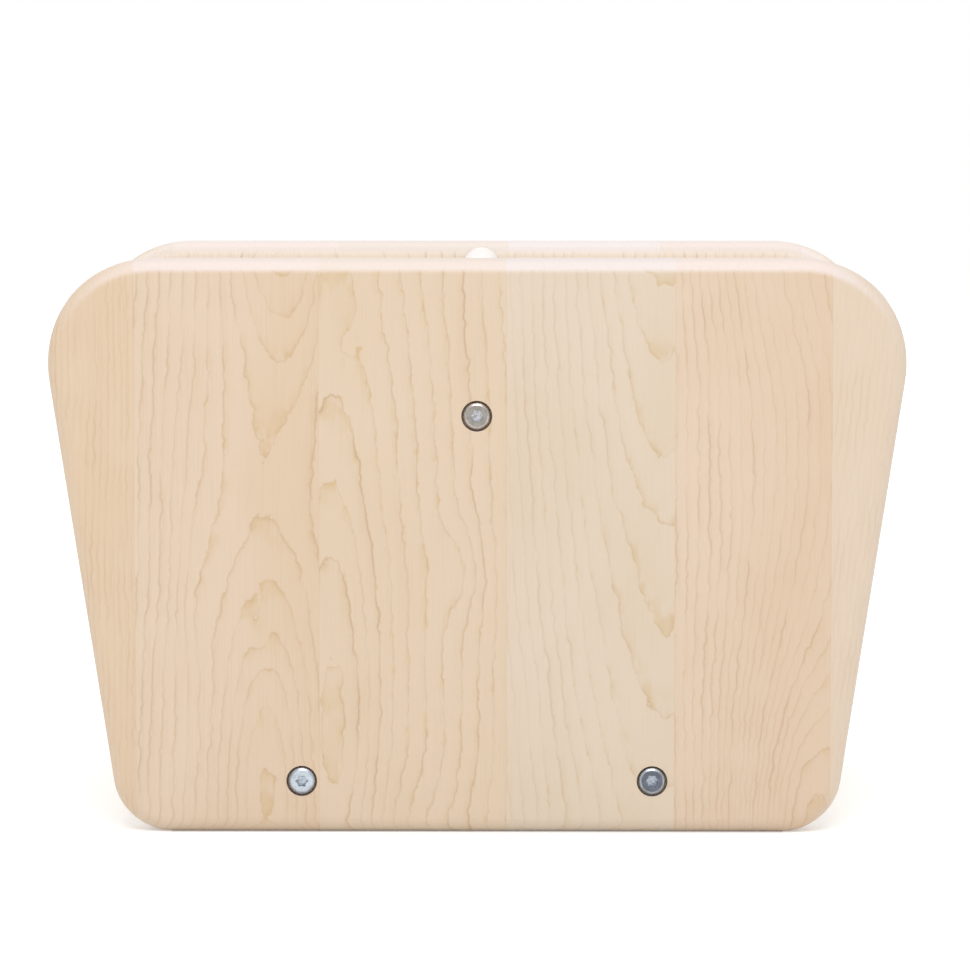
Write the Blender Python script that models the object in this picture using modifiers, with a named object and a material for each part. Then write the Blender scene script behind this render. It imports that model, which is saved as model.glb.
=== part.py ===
"""A low cajon that is played on its top.

Two thick maple end panels, wider at the top, are bolted to three cross members. Between
them stands a plywood body with leaning walls, split into two chambers that each have a
sound port and a thin striking board. A round bar divides the two boards.

X runs across the front panel, Y from the front panel to the rear one, and Z up. The
origin is the middle of the footprint, on the floor.
"""

import math

import bmesh
import bpy
from mathutils import Matrix

# Driving dimensions, in metres
WIDTH = 0.460
HEIGHT = 0.309
DEPTH = 0.300
PANEL_THICKNESS = 0.024
EDGE_ROUND = 0.0085
TOP_CORNER_R = 0.0575
BOTTOM_CORNER_R = 0.0315
SIDE_LEAN = math.radians(8.75)
GAP = 0.0003

# Body between the panels
WALL_INSET = 0.028
WALL_THICKNESS = 0.012
HOUSING_DEPTH = 0.004
BOTTOM_BOARD_Z = 0.046
BOTTOM_BOARD_THICKNESS = 0.009
PARTITION_THICKNESS = 0.012
PORT_R = 0.050
PORT_Z = 0.165

# Playing top
BOARD_DROP = 0.013
BOARD_THICKNESS = 0.005
BOARD_EDGE_ROUND = 0.004
BAR_R = 0.0111
BAR_DROP = 0.0034
BATTEN = 0.018

# Cross members
BEAM_WIDTH = 0.044
BEAM_Z = 0.196
BEAM_HOUSING = 0.008
LOWER_RAIL_WIDTH = 0.040
LOWER_RAIL_Z = 0.010

# Bolts and the threaded inserts behind them
UPPER_BOLT_Z = 0.225
LOWER_BOLT_X = 0.0943
LOWER_BOLT_Z = 0.028
BOLT_HEAD_R = 0.00725
BOLT_HEAD_FACE_R = 0.0056
BOLT_HEAD_CHAMFER = 0.0009
BOLT_HEAD_HEIGHT = 0.0050
BOLT_HEAD_RECESS = 0.0006
BOLT_SHANK_R = 0.0040
BOLT_REACH = 0.046
SOCKET_R = 0.0032
SOCKET_DEPTH = 0.0030
COUNTERBORE_R = 0.0084
BOLT_HOLE_R = 0.0045
INSERT_R = 0.0060
INSERT_FLANGE_R = 0.0085
INSERT_FLANGE_THICKNESS = 0.0016
INSERT_LENGTH = 0.025

# Wood screws that hold the striking boards down
SCREW_HEAD_R = 0.0030
SCREW_HEAD_DEPTH = 0.0018
SCREW_SHANK_R = 0.0013
SCREW_LENGTH = 0.016
SCREW_RECESS = 0.0004
SCREW_EDGE_INSET = 0.0105
SCREW_SPREAD = 0.085

# Facets
CORNER_STEPS = 10
EDGE_SEGMENTS = 4
PORT_SEGMENTS = 40
BOLT_STEPS = 20
INSERT_STEPS = 16
SCREW_STEPS = 8
BAR_SEGMENTS = 32
OVERSHOOT = 0.002
WELD = 1e-6
FLAT_ANGLE = math.radians(0.5)
SMOOTH_ANGLE = math.radians(35)

# Derived levels and planes
INNER_Y = DEPTH / 2 - PANEL_THICKNESS
HOUSED_Y = INNER_Y + HOUSING_DEPTH
BOARD_TOP_Z = HEIGHT - BOARD_DROP
BOARD_BASE_Z = BOARD_TOP_Z - BOARD_THICKNESS
BODY_FLOOR_Z = BOTTOM_BOARD_Z + BOTTOM_BOARD_THICKNESS
BAR_Z = HEIGHT - BAR_DROP - BAR_R
BOARD_INNER_X = BAR_R + GAP
WALL_INNER_INSET = WALL_INSET + WALL_THICKNESS
COUNTERBORE_DEPTH = BOLT_HEAD_RECESS + BOLT_HEAD_HEIGHT + GAP
SIDES = (("left", -1), ("right", 1))
ENDS = (("front", -1), ("rear", 1))


def clear_scene():
    for obj in list(bpy.data.objects):
        bpy.data.objects.remove(obj, do_unlink=True)


def new_collection(name):
    collection = bpy.data.collections.new(name)
    bpy.context.scene.collection.children.link(collection)
    return collection


def new_material(name, color, roughness, metallic):
    material = bpy.data.materials.new(name)
    material.use_nodes = True
    shader = material.node_tree.nodes["Principled BSDF"]
    shader.inputs["Base Color"].default_value = (*color, 1.0)
    shader.inputs["Roughness"].default_value = roughness
    shader.inputs["Metallic"].default_value = metallic
    material.diffuse_color = (*color, 1.0)
    return material


clear_scene()
PIECES = new_collection("cajon")
CUTTERS = new_collection("cajon_cutters")
MAPLE = new_material("oiled_maple", (0.80, 0.64, 0.48), 0.45, 0.0)
PLYWOOD = new_material("birch_plywood", (0.76, 0.62, 0.45), 0.50, 0.0)
BIRCH = new_material("birch_dowel", (0.92, 0.86, 0.77), 0.45, 0.0)
ZINC_STEEL = new_material("zinc_plated_steel", (0.55, 0.56, 0.58), 0.30, 1.0)
BRASS = new_material("brass", (0.72, 0.53, 0.25), 0.35, 1.0)


def make_piece(obj, material):
    """Put an object among the pieces, with its material and its round faces shaded smooth."""
    PIECES.objects.link(obj)
    obj.data.materials.append(material)
    obj.data.shade_smooth()
    obj.data.set_sharp_from_angle(angle=SMOOTH_ANGLE)
    return obj


def make_cutter(obj):
    """Put an object among the cutters, which only take material away."""
    CUTTERS.objects.link(obj)
    obj.hide_render = True
    obj.display_type = "WIRE"
    return obj


def cut(obj, cutter):
    modifier = obj.modifiers.new(cutter.name, "BOOLEAN")
    modifier.operation = "DIFFERENCE"
    modifier.solver = "EXACT"
    modifier.object = cutter


def arc(centre_x, centre_z, radius, start_deg, end_deg, steps):
    """Points of a circular arc in the X-Z plane, both ends included."""
    points = []
    for i in range(steps + 1):
        angle = math.radians(start_deg + (end_deg - start_deg) * i / steps)
        points.append((centre_x + radius * math.cos(angle), centre_z + radius * math.sin(angle)))
    return points


def side_x(z, inset=0.0):
    """Half width, at height z, of the line that lies this far inside the panel's straight side."""
    corner_x = WIDTH / 2 - TOP_CORNER_R
    corner_z = HEIGHT - TOP_CORNER_R
    reach = corner_x * math.cos(SIDE_LEAN) - corner_z * math.sin(SIDE_LEAN) + TOP_CORNER_R - inset
    return (reach + z * math.sin(SIDE_LEAN)) / math.cos(SIDE_LEAN)


def mirrored(outline, sign):
    return [(sign * x, z) for x, z in outline]


def rectangle(x_low, x_high, z_low, z_high):
    return [(x_low, z_low), (x_high, z_low), (x_high, z_high), (x_low, z_high)]


def leaning_strip(outer_inset, inner_inset, z_low, z_high):
    """Outline of a strip parallel to the right side of the panel, cut level at both ends."""
    return [
        (side_x(z_low, inner_inset), z_low),
        (side_x(z_low, outer_inset), z_low),
        (side_x(z_high, outer_inset), z_high),
        (side_x(z_high, inner_inset), z_high),
    ]


def prism(name, outline, y_low, y_high):
    """A closed solid with the given X-Z outline, running from y_low to y_high."""
    curve = bpy.data.curves.new(name, "CURVE")
    curve.dimensions = "2D"
    curve.fill_mode = "BOTH"
    curve.extrude = (y_high - y_low) / 2
    spline = curve.splines.new("POLY")
    spline.points.add(len(outline) - 1)
    for point, (x, z) in zip(spline.points, outline):
        point.co = (x, z, 0.0, 1.0)
    spline.use_cyclic_u = True
    flat = bpy.data.objects.new(name + "_outline", curve)
    flat.rotation_euler.x = math.radians(90)
    flat.location.y = (y_low + y_high) / 2
    bpy.context.scene.collection.objects.link(flat)
    bpy.context.view_layer.update()
    mesh = bpy.data.meshes.new_from_object(flat.evaluated_get(bpy.context.evaluated_depsgraph_get()))
    body = bmesh.new()
    body.from_mesh(mesh)
    bmesh.ops.remove_doubles(body, verts=body.verts, dist=WELD)
    bmesh.ops.dissolve_limit(body, angle_limit=FLAT_ANGLE, verts=body.verts, edges=body.edges)
    bmesh.ops.recalc_face_normals(body, faces=body.faces)
    body.to_mesh(mesh)
    body.free()
    mesh.name = name
    obj = bpy.data.objects.new(name, mesh)
    obj.matrix_world = flat.matrix_world
    bpy.data.objects.remove(flat, do_unlink=True)
    return obj


def turned(name, profile, steps, closed=False):
    """A solid turned about its own Z from a profile of (radius, height), listed from the top down."""
    mesh = bpy.data.meshes.new(name)
    edges = [(i, i + 1) for i in range(len(profile) - 1)]
    if closed:
        edges.append((len(profile) - 1, 0))
    mesh.from_pydata([(r, 0.0, z) for r, z in profile], edges, [])
    obj = bpy.data.objects.new(name, mesh)
    screw = obj.modifiers.new("turn", "SCREW")
    screw.axis = "Z"
    screw.steps = steps
    screw.render_steps = steps
    screw.use_merge_vertices = True
    screw.merge_threshold = WELD
    screw.use_smooth_shade = True
    return obj


def rod(name, radius, length, segments, matrix):
    """A plain cylinder about Z, moved by the matrix."""
    mesh = bpy.data.meshes.new(name)
    body = bmesh.new()
    bmesh.ops.create_cone(
        body, cap_ends=True, segments=segments, radius1=radius, radius2=radius, depth=length, matrix=matrix
    )
    body.to_mesh(mesh)
    body.free()
    return bpy.data.objects.new(name, mesh)


def panel_outline():
    """The rounded trapezoid of an end panel, anticlockwise from the lower right corner."""
    lean = math.degrees(SIDE_LEAN)
    bottom_x = side_x(BOTTOM_CORNER_R, BOTTOM_CORNER_R)
    top_x = WIDTH / 2 - TOP_CORNER_R
    right = arc(bottom_x, BOTTOM_CORNER_R, BOTTOM_CORNER_R, -90, -lean, CORNER_STEPS)
    right += arc(top_x, HEIGHT - TOP_CORNER_R, TOP_CORNER_R, -lean, 90, CORNER_STEPS)
    return right + mirrored(reversed(right), -1)


def place_on_face(obj, x, z, end_sign):
    """Stand a turned object on the outer face of an end panel, with its own +Z pointing out."""
    obj.location = (x, end_sign * DEPTH / 2, z)
    obj.rotation_euler.x = -end_sign * math.radians(90)


def bolt_places():
    """Name and X-Z place of each bolt, with the cross member that it holds."""
    return (
        ("upper", 0.0, UPPER_BOLT_Z, "centre_beam"),
        ("lower_left", -LOWER_BOLT_X, LOWER_BOLT_Z, "lower_left_rail"),
        ("lower_right", LOWER_BOLT_X, LOWER_BOLT_Z, "lower_right_rail"),
    )


def make_panels():
    """End panels with rounded edges, bolt holes and housings for the body."""
    panels = {}
    for end, sign in ENDS:
        faces = sorted((sign * INNER_Y, sign * DEPTH / 2))
        panel = make_piece(prism(f"{end}_panel", panel_outline(), *faces), MAPLE)
        rounding = panel.modifiers.new("edge_round", "BEVEL")
        rounding.width = EDGE_ROUND
        rounding.segments = EDGE_SEGMENTS
        rounding.limit_method = "ANGLE"
        rounding.angle_limit = math.radians(60)
        housing = sorted((sign * HOUSED_Y, sign * (INNER_Y - OVERSHOOT)))
        for name, outline in housing_outlines():
            cut(panel, make_cutter(prism(f"{end}_{name}_housing", outline, *housing)))
        panels[end] = panel
    return panels


def housing_outlines():
    """Outlines of the shallow grooves that take the walls, the bottom board and the partition."""
    grown_wall = leaning_strip(
        WALL_INSET - GAP, WALL_INNER_INSET + GAP, BODY_FLOOR_Z, BOARD_BASE_Z
    )
    base = leaning_strip(WALL_INSET - GAP, WALL_INSET - GAP, BOTTOM_BOARD_Z - GAP, BODY_FLOOR_Z + GAP)
    half_groove = PARTITION_THICKNESS / 2 + GAP
    return (
        ("left_wall", mirrored(grown_wall, -1)),
        ("right_wall", grown_wall),
        ("bottom_board", [mirrored(base, -1)[1], base[1], base[2], mirrored(base, -1)[2]]),
        ("partition", rectangle(-half_groove, half_groove, BODY_FLOOR_Z, BEAM_Z + BEAM_HOUSING)),
    )


def make_walls():
    """Leaning plywood walls, each with a round sound port."""
    for side, sign in SIDES:
        outline = leaning_strip(
            WALL_INSET, WALL_INNER_INSET, BODY_FLOOR_Z + GAP, BOARD_BASE_Z - GAP
        )
        wall = make_piece(
            prism(f"{side}_wall", mirrored(outline, sign), -HOUSED_Y + GAP, HOUSED_Y - GAP), PLYWOOD
        )
        port_x = side_x(PORT_Z, WALL_INSET + WALL_THICKNESS / 2)
        port = rod(f"{side}_port", PORT_R, 4 * WALL_THICKNESS, PORT_SEGMENTS, Matrix())
        port.location = (sign * port_x, 0.0, PORT_Z)
        port.rotation_euler.y = sign * (math.radians(90) + SIDE_LEAN)
        cut(wall, make_cutter(port))


def make_body():
    """Bottom board and the partition between the two chambers."""
    edge = leaning_strip(WALL_INSET, WALL_INSET, BOTTOM_BOARD_Z, BODY_FLOOR_Z)
    base = [mirrored(edge, -1)[1], edge[1], edge[2], mirrored(edge, -1)[2]]
    make_piece(prism("bottom_board", base, -HOUSED_Y + GAP, HOUSED_Y - GAP), PLYWOOD)
    half = PARTITION_THICKNESS / 2
    partition = rectangle(-half, half, BODY_FLOOR_Z + GAP, BEAM_Z + BEAM_HOUSING - GAP)
    make_piece(prism("centre_partition", partition, -HOUSED_Y + GAP, HOUSED_Y - GAP), PLYWOOD)


def beam_outline():
    """Section of the centre beam: a slot below for the partition, a round seat above for the bar."""
    half = BEAM_WIDTH / 2
    slot = PARTITION_THICKNESS / 2 + GAP
    top = BOARD_BASE_Z - GAP
    slot_top = BEAM_Z + BEAM_HOUSING
    seat_r = BAR_R + GAP
    seat_deg = math.degrees(math.asin((top - BAR_Z) / seat_r))
    outline = [(-half, BEAM_Z), (-slot, BEAM_Z), (-slot, slot_top), (slot, slot_top), (slot, BEAM_Z)]
    outline += [(half, BEAM_Z), (half, top)]
    outline += arc(0.0, BAR_Z, seat_r, seat_deg, -180 - seat_deg, CORNER_STEPS)
    return outline + [(-half, top)]


def make_cross_members():
    """Centre beam and lower rails, the pieces that the bolts pull the panels against."""
    length = INNER_Y - GAP
    members = {"centre_beam": make_piece(prism("centre_beam", beam_outline(), -length, length), MAPLE)}
    half = LOWER_RAIL_WIDTH / 2
    for side, sign in SIDES:
        middle = sign * LOWER_BOLT_X
        name = f"lower_{side}_rail"
        outline = rectangle(middle - half, middle + half, LOWER_RAIL_Z, BOTTOM_BOARD_Z - GAP)
        members[name] = make_piece(prism(name, outline, -length, length), MAPLE)
    turn = Matrix.Translation((0.0, 0.0, BAR_Z)) @ Matrix.Rotation(math.radians(90), 4, "X")
    make_piece(rod("centre_bar", BAR_R, 2 * length, BAR_SEGMENTS, turn), BIRCH)
    return members


def top_rail_inner_x():
    return side_x(BOARD_BASE_Z - BATTEN, WALL_INNER_INSET) - BATTEN


def make_battens():
    """Battens that carry the outer ends and the front and rear edges of the striking boards."""
    battens = {}
    low = BOARD_BASE_Z - BATTEN
    high = BOARD_BASE_Z - GAP
    inner = top_rail_inner_x()
    for side, sign in SIDES:
        face = leaning_strip(WALL_INNER_INSET + GAP, WALL_INNER_INSET + GAP, low, high)
        outline = [(inner, low), face[1], face[2], (inner, high)]
        name = f"top_{side}_rail"
        rail = prism(name, mirrored(outline, sign), -INNER_Y + GAP, INNER_Y - GAP)
        battens[name] = make_piece(rail, MAPLE)
        ledger = rectangle(BEAM_WIDTH / 2 + GAP, inner - GAP, low, high)
        for end, end_sign in ENDS:
            faces = sorted((end_sign * (INNER_Y - GAP), end_sign * (INNER_Y - BATTEN)))
            name = f"{end}_{side}_ledger"
            battens[name] = make_piece(prism(name, mirrored(ledger, sign), *faces), MAPLE)
    return battens


def striking_board_outline():
    """Section of the right striking board, with its outer top edge rounded for the hand."""
    outer = side_x(BOARD_BASE_Z, WALL_INSET)
    outline = [(BOARD_INNER_X, BOARD_BASE_Z), (outer, BOARD_BASE_Z)]
    outline += arc(
        outer - BOARD_EDGE_ROUND, BOARD_TOP_Z - BOARD_EDGE_ROUND, BOARD_EDGE_ROUND, 0, 90, EDGE_SEGMENTS
    )
    return outline + [(BOARD_INNER_X, BOARD_TOP_Z)]


def screw_places(side):
    """X-Y place of each screw of the right board, and the batten that it enters."""
    outer_x = top_rail_inner_x() + SCREW_EDGE_INSET
    end_y = INNER_Y - SCREW_EDGE_INSET
    middle_x = (BEAM_WIDTH / 2 + top_rail_inner_x()) / 2
    half_spread = SCREW_SPREAD / 2
    places = [(outer_x, y, f"top_{side}_rail") for y in (-SCREW_SPREAD, 0.0, SCREW_SPREAD)]
    for end, end_sign in ENDS:
        for x in (middle_x - half_spread, middle_x + half_spread):
            places.append((x, end_sign * end_y, f"{end}_{side}_ledger"))
    return places


def screw_profile(grow):
    """Countersunk wood screw, from the flat of its head down to its point."""
    head = SCREW_HEAD_R + grow
    shank = SCREW_SHANK_R + grow
    top = -SCREW_RECESS
    return [
        (0.0, top),
        (head, top),
        (shank, top - SCREW_HEAD_DEPTH),
        (shank, top - SCREW_LENGTH + SCREW_HEAD_DEPTH - grow),
        (0.0, top - SCREW_LENGTH - grow),
    ]


def screw_hole_profile():
    """The screw's own shape, a little larger and open at the top."""
    body = screw_profile(GAP)[1:]
    return [(0.0, OVERSHOOT), (body[0][0], OVERSHOOT)] + body


def make_striking_boards(battens):
    """Thin playing boards, each held down by countersunk screws."""
    end = INNER_Y - GAP
    for side, sign in SIDES:
        outline = mirrored(striking_board_outline(), sign)
        board = make_piece(prism(f"{side}_striking_board", outline, -end, end), PLYWOOD)
        for number, (x, y, batten) in enumerate(screw_places(side), start=1):
            name = f"{side}_board_screw_{number}"
            screw = make_piece(turned(name, screw_profile(0.0), SCREW_STEPS), ZINC_STEEL)
            hole = make_cutter(turned(f"{name}_hole", screw_hole_profile(), SCREW_STEPS))
            for obj in (screw, hole):
                obj.location = (sign * x, y, BOARD_TOP_Z)
            cut(board, hole)
            cut(battens[batten], hole)


def bolt_profile():
    """Low cap bolt: flat face, chamfered rim, shank with a chamfered tip."""
    face = -BOLT_HEAD_RECESS
    seat = face - BOLT_HEAD_HEIGHT
    tip = -BOLT_REACH
    return [
        (0.0, face),
        (BOLT_HEAD_FACE_R, face),
        (BOLT_HEAD_R, face - BOLT_HEAD_CHAMFER),
        (BOLT_HEAD_R, seat),
        (BOLT_SHANK_R, seat),
        (BOLT_SHANK_R, tip + GAP),
        (BOLT_SHANK_R - GAP, tip),
        (0.0, tip),
    ]


def bolt_hole_profile():
    """Counterbore and through hole in a panel."""
    return [
        (0.0, OVERSHOOT),
        (COUNTERBORE_R, OVERSHOOT),
        (COUNTERBORE_R, -COUNTERBORE_DEPTH),
        (BOLT_HOLE_R, -COUNTERBORE_DEPTH),
        (BOLT_HOLE_R, -PANEL_THICKNESS - OVERSHOOT),
        (0.0, -PANEL_THICKNESS - OVERSHOOT),
    ]


def insert_profile():
    """Flanged sleeve, sunk flush in the end of a cross member."""
    top = -PANEL_THICKNESS - 2 * GAP
    bore = BOLT_SHANK_R + GAP
    return [
        (bore, top),
        (INSERT_FLANGE_R, top),
        (INSERT_FLANGE_R, top - INSERT_FLANGE_THICKNESS),
        (INSERT_R, top - INSERT_FLANGE_THICKNESS),
        (INSERT_R, top - INSERT_LENGTH),
        (bore, top - INSERT_LENGTH),
    ]


def insert_hole_profile():
    """Stepped blind hole for an insert."""
    top = -PANEL_THICKNESS
    step = top - INSERT_FLANGE_THICKNESS - 3 * GAP
    bottom = top - INSERT_LENGTH - OVERSHOOT
    return [
        (0.0, top + OVERSHOOT),
        (INSERT_FLANGE_R + GAP, top + OVERSHOOT),
        (INSERT_FLANGE_R + GAP, step),
        (INSERT_R + GAP, step),
        (INSERT_R + GAP, bottom),
        (0.0, bottom),
    ]


def make_bolts(panels, members):
    """Six bolts with hexagon sockets, and the insert behind each of them."""
    for end, sign in ENDS:
        for place, x, z, member in bolt_places():
            name = f"{end}_{place}"
            bolt = make_piece(turned(f"{name}_bolt", bolt_profile(), BOLT_STEPS), ZINC_STEEL)
            insert = make_piece(turned(f"{name}_insert", insert_profile(), INSERT_STEPS, True), BRASS)
            bolt_hole = make_cutter(turned(f"{name}_bolt_hole", bolt_hole_profile(), BOLT_STEPS))
            insert_hole = make_cutter(turned(f"{name}_insert_hole", insert_hole_profile(), INSERT_STEPS))
            socket_middle = Matrix.Translation((0.0, 0.0, -BOLT_HEAD_RECESS - SOCKET_DEPTH / 2 + OVERSHOOT / 2))
            socket = make_cutter(rod(f"{name}_socket", SOCKET_R, SOCKET_DEPTH + OVERSHOOT, 6, socket_middle))
            for obj in (bolt, insert, bolt_hole, insert_hole, socket):
                place_on_face(obj, x, z, sign)
            cut(bolt, socket)
            cut(panels[end], bolt_hole)
            cut(members[member], insert_hole)


panel_pieces = make_panels()
make_walls()
make_body()
cross_members = make_cross_members()
make_striking_boards(make_battens())
make_bolts(panel_pieces, cross_members)
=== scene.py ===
"""Looks for a low top-played cajon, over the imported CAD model, laid out as an add-on."""

import math
from collections import namedtuple

import bmesh
import bpy
from bpy.props import FloatProperty, FloatVectorProperty, PointerProperty
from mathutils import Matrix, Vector


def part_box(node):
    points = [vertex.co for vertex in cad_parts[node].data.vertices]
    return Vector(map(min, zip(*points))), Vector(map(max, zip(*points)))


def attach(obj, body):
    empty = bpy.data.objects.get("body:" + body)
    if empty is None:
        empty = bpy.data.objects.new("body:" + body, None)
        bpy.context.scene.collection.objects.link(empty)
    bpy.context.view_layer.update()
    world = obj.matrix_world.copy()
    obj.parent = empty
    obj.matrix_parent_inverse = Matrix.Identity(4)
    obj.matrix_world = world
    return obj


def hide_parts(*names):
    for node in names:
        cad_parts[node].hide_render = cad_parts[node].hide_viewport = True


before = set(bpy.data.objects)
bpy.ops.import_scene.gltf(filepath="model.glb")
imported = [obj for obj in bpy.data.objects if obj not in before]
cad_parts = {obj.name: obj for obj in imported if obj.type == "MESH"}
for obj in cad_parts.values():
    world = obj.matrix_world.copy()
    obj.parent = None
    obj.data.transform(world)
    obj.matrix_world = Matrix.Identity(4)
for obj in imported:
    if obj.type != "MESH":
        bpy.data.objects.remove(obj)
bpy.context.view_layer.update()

bl_info = {
    "name": "Top-played cajon",
    "version": (1, 0, 0),
    "blender": (4, 5, 0),
    "location": "View3D > Sidebar > Cajon",
    "description": "Models the visible pieces of a maple cajon over its CAD frame",
    "category": "Add Mesh",
}

ENDS = {"front": -1.0, "rear": 1.0}
BOLT_PLACES = ("upper", "lower_left", "lower_right")
UP = (0.0, 0.0, 1.0)
MM = 1000.0

# Fasteners and the holes they sit in, in metres. A cutter stands past the face that it opens.
BORE_RADIUS = 0.0083
BORE_DEPTH = 0.0059
HOLE_RADIUS = 0.0045
HOLE_DEPTH = 0.03
HEAD_HEIGHT = 0.005
HEAD_CROWN = 0.001
SHANK_RADIUS = 0.004
SHANK_LENGTH = 0.041
SOCKET_RADIUS = 0.0037
SOCKET_DEPTH = 0.003
SINK_RADIUS = 0.0033
SINK_DEPTH = 0.0024
PAST = 0.001

# How strongly the paper glows in the open, and under a panel, where the weaker glow is a painted contact
# shadow.
OPEN_GLOW = 0.28
FOOT_SHADOW_GLOW = 0.14

# The studio in metres: half the length of a panel's straight foot, the floor, and the places and aims
# of the lights and the camera. The lens is in millimetres.
FOOT_REACH = 0.165
FLOOR_SIZE = 12.0
FLOOR_DROP = 0.0001
SKY_PLACE = (0.0, 0.0, 2.0)
SKY_AIM = (0.0, 0.2, 0.0)
BOX_PLACE = (0.0, -1.3, 1.35)
BOX_AIM = (0.0, -0.1, 0.15)
CAMERA_PLACE = (0.0242, -2.5512, 0.3994)
CAMERA_AIM = (0.0043, -0.138, 0.1868)
CAMERA_LENS = 167.0

# Tones of each bolt on its rim, its flat face and in its socket. The plating is the same on all three:
# the tones stand in for what each head reflects in the photo, which an all-white studio cannot give.
BOLT_REFLECTION_TONES = {
    "upper": ("#C0B8B4", "#99958D", "#C4C4CA"),
    "lower_left": ("#B2B7C1", "#B9C2CB", "#AFBAC4"),
    "lower_right": ("#AEB4BA", "#666A74", "#A7B0BB"),
}

# One board of the edge-glued panel, in millimetres from the panel's foot and centre line. Right is its
# right edge and warmer how much warmer the wood gets from its left edge to there. The rings of the
# tree are cylinders about its heart, which runs up behind the face: depth is how far behind it is at
# the foot, climb how much deeper it gets for each millimetre of height and lean how far it moves
# sideways. Ring is the width of a year, first the year at the heart, wander how far the heart strays,
# bold how dark the late wood is and fine how streaky the fibres are. Swells are places where the
# rings bulge: x, z, half width, half height and size in rings. The edges of the boards are measured,
# and the figure is in round values.
Board = namedtuple("Board", "right tone warmer heart depth climb lean ring first wander bold fine swells")
BOARDS = (
    # Straight grain.
    Board(-183.5, "#C0AB93", 0.0, -330.0, 60.0, 0.02, 0.02, 3.2, 0.0, 4.0, 0.45, 1.0, ()),
    # Arches low down, the second one dented, with cups above them and a kink on the left.
    Board(-84.6, "#C1AF9B", 0.9, -113.0, 60.0, 0.04, 0.0, 4.0, 0.0, 4.0, 0.72, 0.7, (
        (-113.0, 30.0, 20.0, 90.0, -3.2), (-117.0, 112.0, 6.0, 16.0, 0.8),
        (-100.0, 320.0, 30.0, 70.0, -5.0), (-150.0, 125.0, 10.0, 40.0, -0.8))),
    # Long ovals on the left, and long lines that hook round one spot and bend at the foot and the top.
    Board(15.9, "#BFAD97", 0.0, -76.0, 40.0, 0.03, 0.0, 8.0, -0.2, 4.0, 0.85, 0.3, (
        (-78.0, 60.0, 24.0, 160.0, -3.5), (-8.0, 142.0, 14.0, 24.0, -1.4),
        (-70.0, 262.0, 6.0, 14.0, 0.6), (-40.0, -10.0, 60.0, 40.0, 1.2),
        (-20.0, 310.0, 60.0, 80.0, 0.5))),
    # Cups all the way up, because the heart comes nearer with height.
    Board(106.1, "#BFB09E", 0.1, 100.0, 62.0, -0.12, 0.0, 5.4, 0.9, 4.0, 0.46, 0.3, ()),
    # Straight grain that fans out low down and bows at the top.
    Board(190.0, "#C1AE9A", 0.8, 400.0, 0.0, 0.0, 0.0, 6.0, 0.0, 4.0, 0.62, 0.5, (
        (172.0, -10.0, 32.0, 110.0, -9.0), (160.0, 330.0, 45.0, 70.0, -3.0))),
    # Leaning grain.
    Board(240.0, "#C1B09D", 0.0, 330.0, 60.0, 0.05, 0.12, 3.4, 0.0, 4.0, 0.27, 0.8, ()),
)
# The rear panel is glued up from the same widths, in paler tones than the front panel.
REAR_TONES = ("#C8B7A1", "#CAB9A5", "#C7B7A2", "#C9BBAA", "#C9B8A4", "#CBBCAA")
# The panels' inner faces are painted paler than their outer ones: painted light between the panels.
INNER_FACE_PAINTED_LIGHT = "#E0D6CB"
# Gains in red, green and blue that make the long edges and the upper edge paler than the face. On the
# long edges this is painted light; on the up-facing upper edge it is partly end grain, partly painted
# light from above.
LONG_EDGE_PAINTED_LIGHT = (1.05, 1.06, 1.08)
UPPER_EDGE_GRAIN_AND_LIGHT = (1.08, 1.16, 1.40)
# Left end of the first board, and of the rails, in millimetres.
FAR_LEFT = -240.0
# Rails and battens have straight grain.
RAIL = Board(240.0, "#C6B19B", 0.0, 40.0, 80.0, 0.05, 0.0, 4.5, 0.0, 6.0, 0.4, 0.5, ())


def linear(text):
    """Turn an sRGB hex colour into linear light with alpha."""
    values = [int(text[i:i + 2], 16) / 255.0 for i in (1, 3, 5)]
    return [v / 12.92 if v <= 0.04045 else ((v + 0.055) / 1.055) ** 2.4 for v in values] + [1.0]


class CajonSizes(bpy.types.PropertyGroup):
    """Sizes of the visible forms, in metres, that the CAD boxes do not give."""

    edge_round: FloatProperty(
        name="Panel edge round", description="Radius of the roundover on the end panels",
        default=0.0085, min=0.002, max=0.0115, unit="LENGTH")
    top_corner: FloatProperty(
        name="Top corner radius", description="Radius of the upper corners of the end panels",
        default=0.0575, min=0.01, max=0.1, unit="LENGTH")
    bottom_corner: FloatProperty(
        name="Bottom corner radius", description="Radius of the lower corners of the end panels",
        default=0.0315, min=0.01, max=0.1, unit="LENGTH")
    side_lean: FloatProperty(
        name="Side lean", description="How far the sides lean out from upright",
        default=math.radians(8.75), min=0.0, max=0.5, subtype="ANGLE")
    wall_thickness: FloatProperty(
        name="Wall thickness", description="Thickness of the plywood side walls",
        default=0.012, min=0.006, max=0.02, unit="LENGTH")
    port_radius: FloatProperty(
        name="Port radius", description="Radius of the sound ports in the side walls",
        default=0.05, min=0.02, max=0.055, unit="LENGTH")
    port_height: FloatProperty(
        name="Port height", description="Height of the middle of the sound ports",
        default=0.165, min=0.12, max=0.22, unit="LENGTH")
    ease: FloatProperty(
        name="Eased edge", description="Width of the sanded edge on rails, walls and boards",
        default=0.0012, min=0.0002, max=0.003, unit="LENGTH")


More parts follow.
